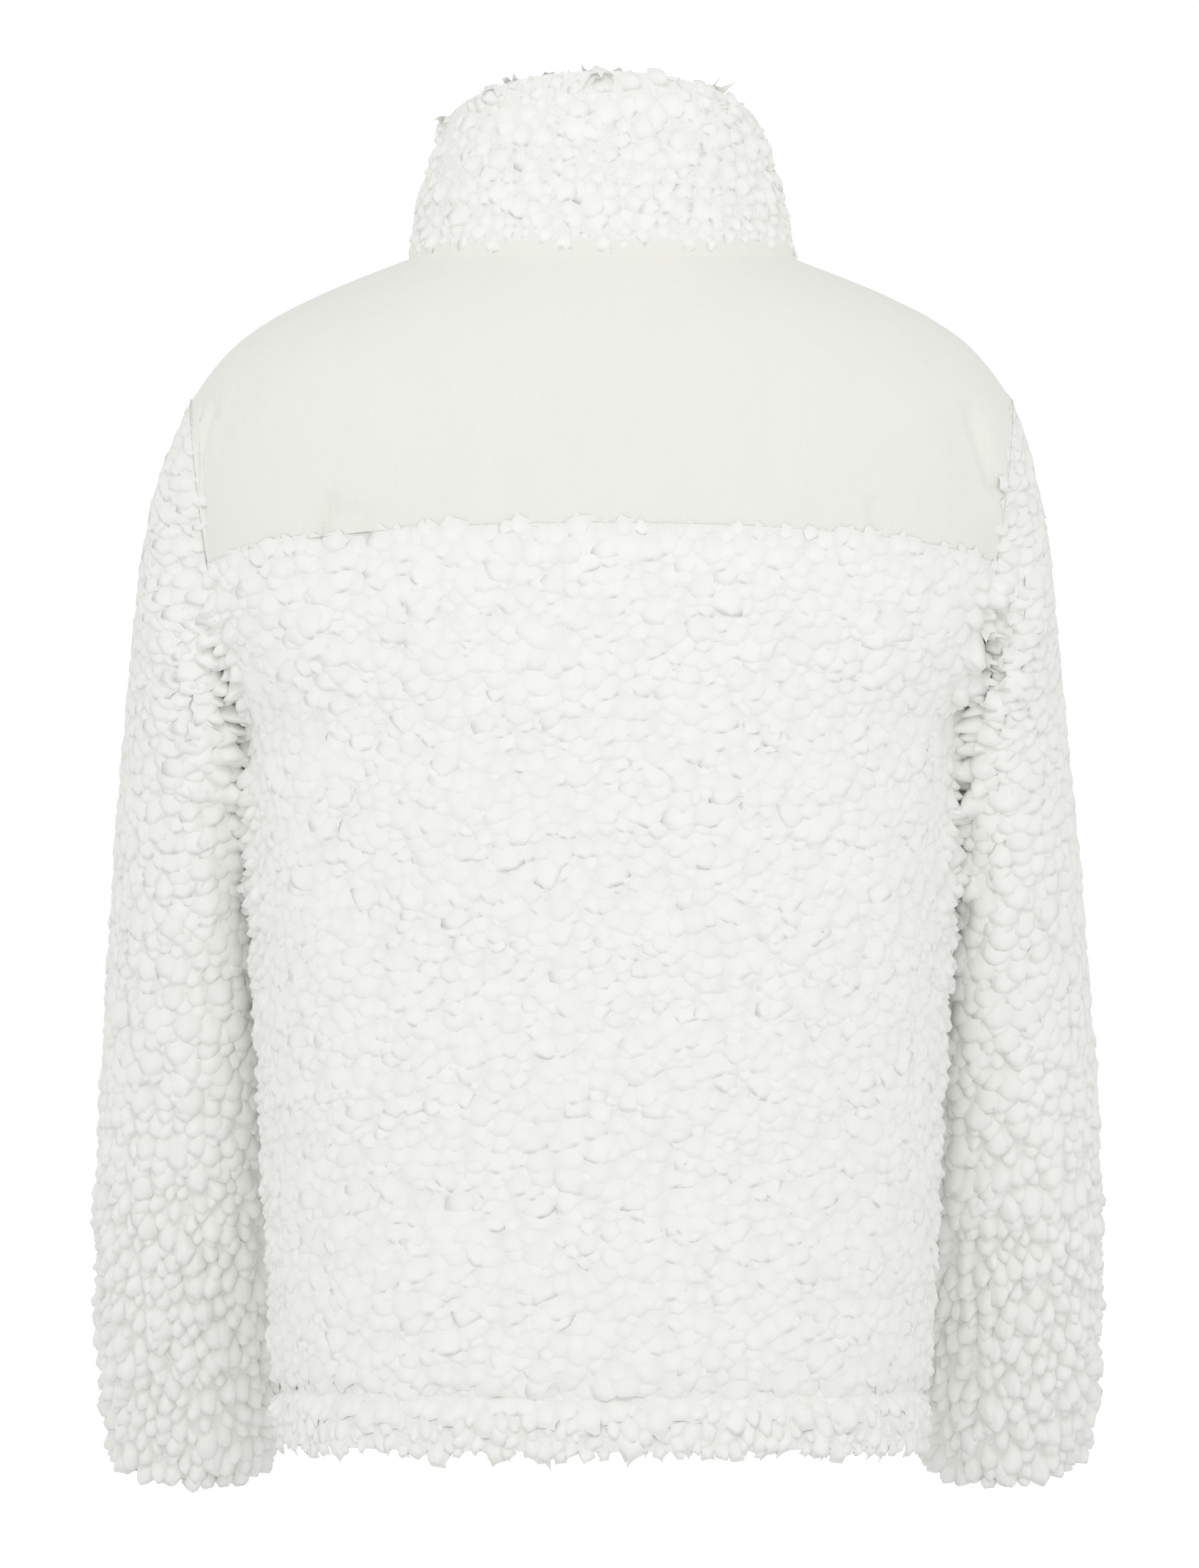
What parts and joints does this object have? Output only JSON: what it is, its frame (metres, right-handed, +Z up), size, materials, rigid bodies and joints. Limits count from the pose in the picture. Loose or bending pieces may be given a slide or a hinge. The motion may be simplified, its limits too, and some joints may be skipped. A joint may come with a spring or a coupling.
{
  "type": "sherpa fleece pullover",
  "caption": "Hollow, filled-out funnel-neck sherpa pullover with a smooth yoke front and back, open neck, hem and cuffs.",
  "frame": {"origin": "middle of the neck, level with the tops of the shoulders beside it, where the wearer's shoulders carry the pullover", "axes": "+Z up, from hem to collar; the front faces -Y and the back +Y; the wearer's left is at +X"},
  "size_m": [0.5532, 0.3406, 0.7651],
  "materials": {
    "sherpa": "off-white pile, matt",
    "smooth_fleece": "ivory brushed fleece, matt",
    "neck_tape": "ivory knitted tape, matt"
  },
  "bodies": {
    "root": {"back_yoke": "smooth_fleece", "front_yoke": "smooth_fleece", "back_body": "sherpa", "front_body": "sherpa", "sleeve_left": "sherpa", "sleeve_right": "sherpa", "neck_band": "neck_tape", "collar": "sherpa"}
  },
  "joints": []
}
